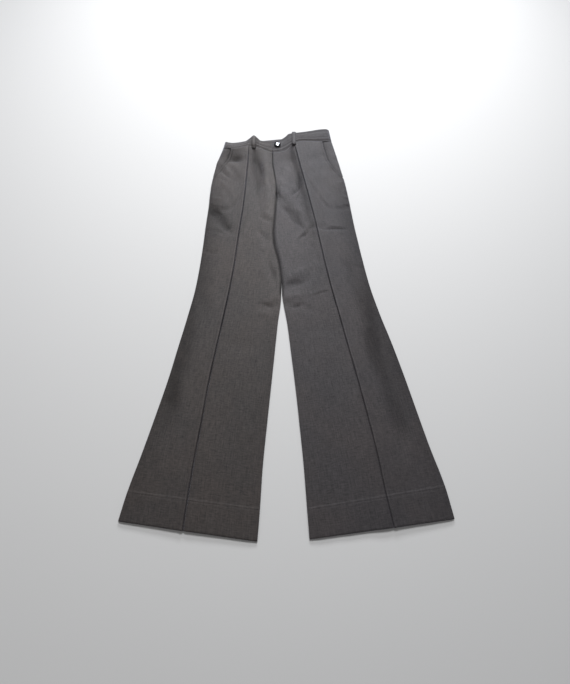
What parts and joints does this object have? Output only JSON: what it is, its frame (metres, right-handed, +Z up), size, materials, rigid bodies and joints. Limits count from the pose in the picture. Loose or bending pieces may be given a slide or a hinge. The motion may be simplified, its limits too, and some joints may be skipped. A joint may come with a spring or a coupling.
{
  "type": "flared trousers",
  "caption": "High-waisted flared trousers laid flat, with pressed front creases, slanted pockets, buttoned waistband tab, belt loops and deep hems.",
  "frame": {"origin": "on the surface the trousers lie on, under the middle of their outline", "axes": "+X across the waist to the right of the front as laid, +Y from the hems to the waist, +Z up out of the front"},
  "size_m": [0.666, 1.118, 0.03],
  "materials": {
    "cloth": "matt woven charcoal grey with a faint sheen",
    "button": "polished"
  },
  "bodies": {
    "root": {"back_left": "cloth", "back_right": "cloth", "waistband_back": "cloth", "front_left": "cloth", "front_right": "cloth", "pocket_facing_left": "cloth", "pocket_facing_right": "cloth", "waistband_front_left": "cloth", "waistband_front_right": "cloth", "belt_loop_left": "cloth", "belt_loop_right": "cloth", "button": "button"}
  },
  "joints": []
}
